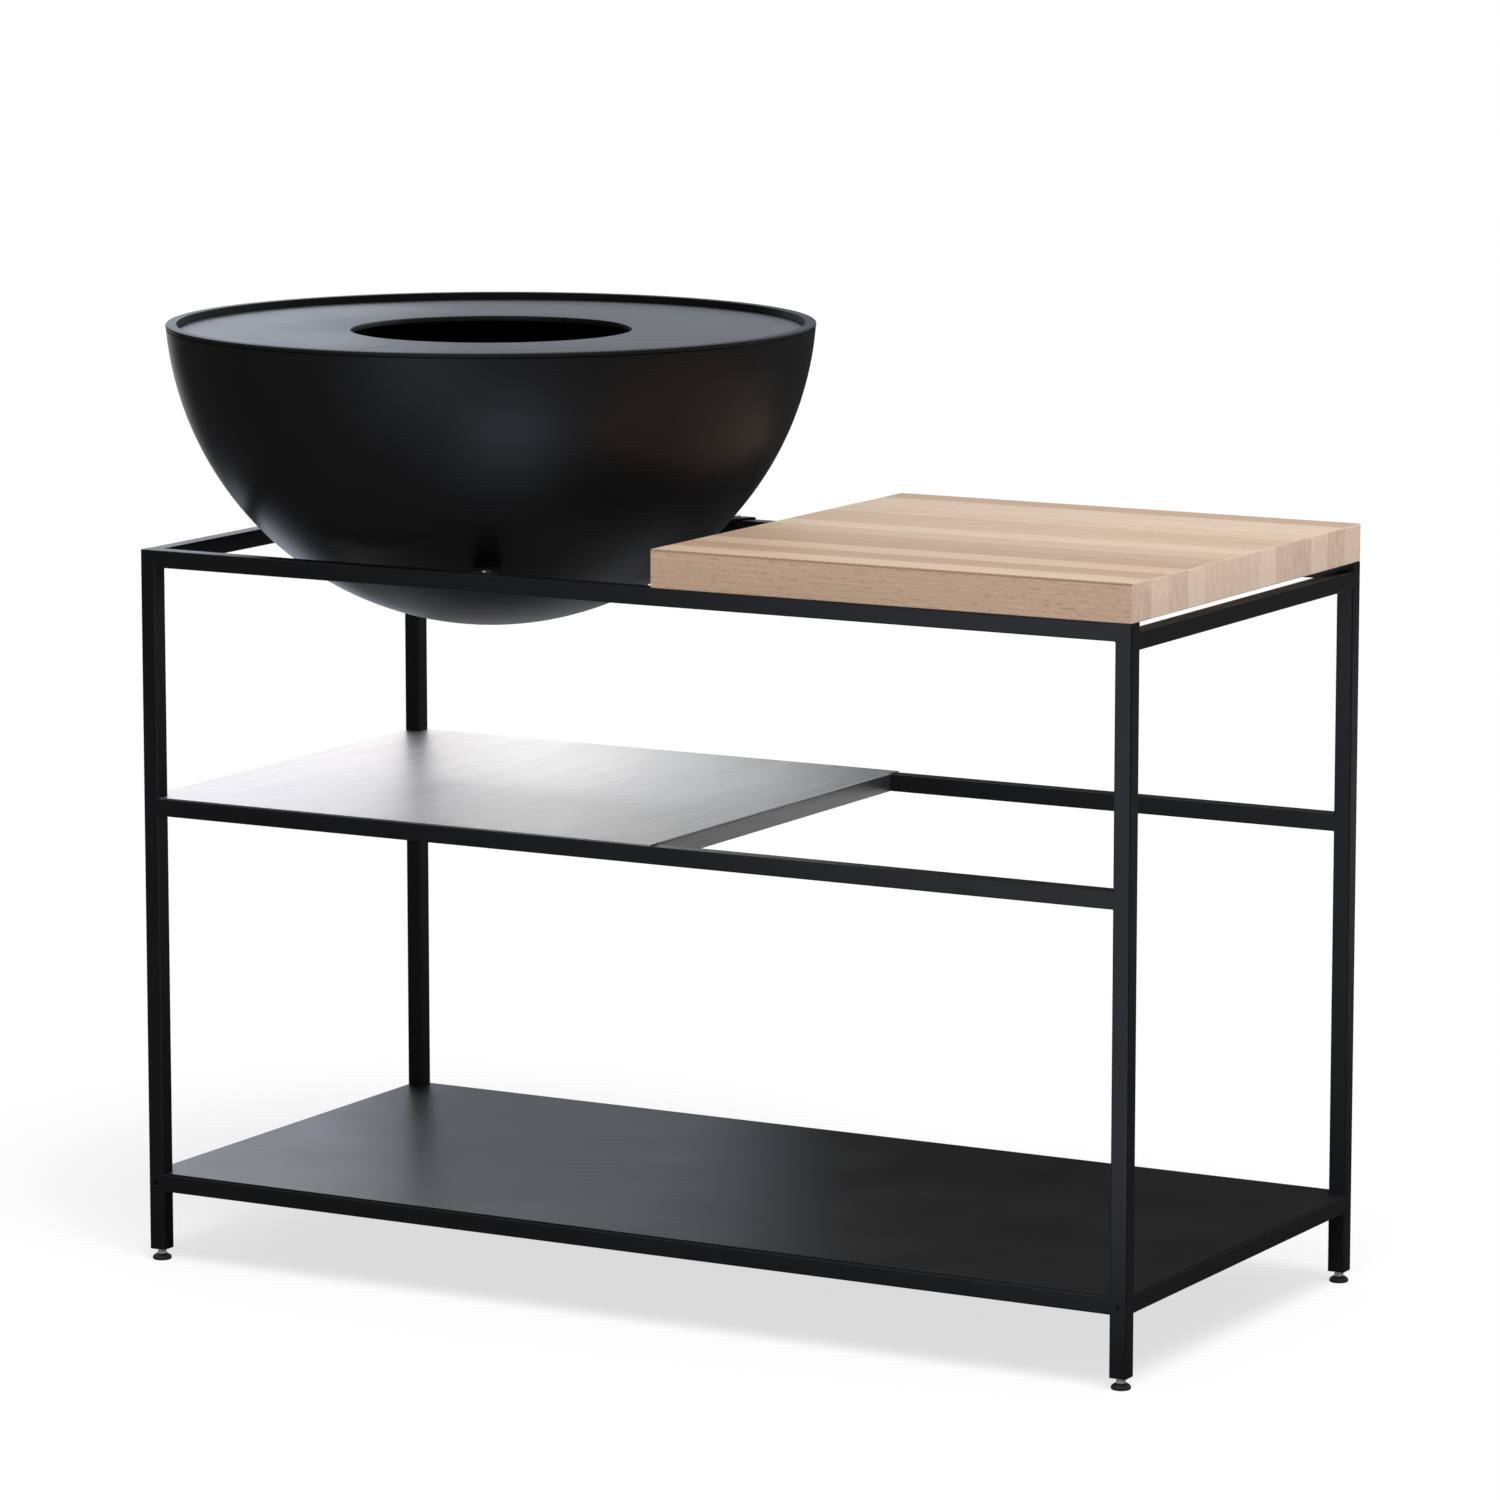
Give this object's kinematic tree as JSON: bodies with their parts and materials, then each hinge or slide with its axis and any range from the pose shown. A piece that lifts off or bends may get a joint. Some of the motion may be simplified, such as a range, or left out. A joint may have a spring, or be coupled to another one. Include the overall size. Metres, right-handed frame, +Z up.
{
  "type": "fire bowl cooking station",
  "caption": "Outdoor cooking table of square tube with a half-round fire bowl under a ring-shaped steel plate, a sliding wooden board, a sliding steel shelf, a bottom shelf and levelling feet.",
  "frame": {"origin": "on the floor under the middle of the whole outline, levelling feet screwed fully in; the bowl overhangs the table on the left, so the table's own middle is 38.55 mm to the right", "axes": "+X to the right along the table, -Y towards the front, +Z up"},
  "size_m": [1.2789, 0.714, 1.0305],
  "materials": {
    "frame_black": "satin black powder coat",
    "bowl_black": "satin black heat-proof paint",
    "plate_steel": "ground steel with a fine grain",
    "stainless": "brushed stainless",
    "beech": "oiled, glued up from staves",
    "strip_black": "satin black",
    "zinc": "bright zinc plating",
    "screw_black": "black oxide",
    "foot_black": "matte black"
  },
  "bodies": {
    "frame": {"leg_front_left": "frame_black", "leg_front_right": "frame_black", "leg_back_left": "frame_black", "leg_back_right": "frame_black", "top_rail_front": "frame_black", "top_rail_back": "frame_black", "top_rail_left": "frame_black", "top_rail_right": "frame_black", "mid_rail_front": "frame_black", "mid_rail_back": "frame_black", "bottom_rail_front": "frame_black", "bottom_rail_back": "frame_black", "bottom_rail_left": "frame_black", "bottom_rail_right": "frame_black", "rail_end_plugs": "zinc", "frame_screws": "screw_black", "leg_inserts": "foot_black", "bottom_shelf": "frame_black"},
    "fire_bowl": {"bowl_shell": "bowl_black", "bowl_rim": "bowl_black", "bowl_lug_left": "bowl_black", "bowl_lug_front": "bowl_black", "bowl_lug_back": "bowl_black", "lug_pins": "zinc"},
    "plate_left": {"plate_half_left": "plate_steel"},
    "plate_right": {"plate_half_right": "plate_steel"},
    "cutting_board": {"board": "beech", "board_strips": "strip_black", "strip_screws": "zinc"},
    "shelf": {"steel_shelf": "stainless"},
    "foot_fl": {"pad_front_left": "foot_black"},
    "screw_fl": {"stud_front_left": "zinc"},
    "foot_fr": {"pad_front_right": "foot_black"},
    "screw_fr": {"stud_front_right": "zinc"},
    "foot_bl": {"pad_back_left": "foot_black"},
    "screw_bl": {"stud_back_left": "zinc"},
    "foot_br": {"pad_back_right": "foot_black"},
    "screw_br": {"stud_back_right": "zinc"}
  },
  "joints": [
    {"name": "bowl_lift", "type": "slide", "parent": "frame", "child": "fire_bowl", "axis": [0, 0, 1], "range_m": [0, 0.35]},
    {"name": "plate_left_lift", "type": "slide", "parent": "fire_bowl", "child": "plate_left", "axis": [0, 0, 1], "range_m": [0, 0.2]},
    {"name": "plate_right_lift", "type": "slide", "parent": "fire_bowl", "child": "plate_right", "axis": [0, 0, 1], "range_m": [0, 0.2]},
    {"name": "board_slide", "type": "slide", "parent": "frame", "child": "cutting_board", "axis": [1, 0, 0], "range_m": [-0.07, 0.2]},
    {"name": "shelf_slide", "type": "slide", "parent": "frame", "child": "shelf", "axis": [1, 0, 0], "range_m": [0, 0.54]},
    {"name": "foot_fl_height", "type": "slide", "parent": "frame", "child": "foot_fl", "axis": [0, 0, -1], "range_m": [0, 0.02]},
    {"name": "screw_fl_turn", "type": "hinge", "parent": "foot_fl", "child": "screw_fl", "pos_m": [-0.55195, -0.269, 0.006], "axis": [0, 0, -1], "range_deg": [0, 5750]},
    {"name": "foot_fr_height", "type": "slide", "parent": "frame", "child": "foot_fr", "axis": [0, 0, -1], "range_m": [0, 0.02]},
    {"name": "screw_fr_turn", "type": "hinge", "parent": "foot_fr", "child": "screw_fr", "pos_m": [0.62905, -0.269, 0.006], "axis": [0, 0, -1], "range_deg": [0, 5750]},
    {"name": "foot_bl_height", "type": "slide", "parent": "frame", "child": "foot_bl", "axis": [0, 0, -1], "range_m": [0, 0.02]},
    {"name": "screw_bl_turn", "type": "hinge", "parent": "foot_bl", "child": "screw_bl", "pos_m": [-0.55195, 0.269, 0.006], "axis": [0, 0, -1], "range_deg": [0, 5750]},
    {"name": "foot_br_height", "type": "slide", "parent": "frame", "child": "foot_br", "axis": [0, 0, -1], "range_m": [0, 0.02]},
    {"name": "screw_br_turn", "type": "hinge", "parent": "foot_br", "child": "screw_br", "pos_m": [0.62905, 0.269, 0.006], "axis": [0, 0, -1], "range_deg": [0, 5750]}
  ],
  "couplings": [
    {"joint": "foot_fl_height", "follows": "screw_fl_turn", "m_per_rad": 0.00019894},
    {"joint": "foot_fr_height", "follows": "screw_fr_turn", "m_per_rad": 0.00019894},
    {"joint": "foot_bl_height", "follows": "screw_bl_turn", "m_per_rad": 0.00019894},
    {"joint": "foot_br_height", "follows": "screw_br_turn", "m_per_rad": 0.00019894}
  ]
}
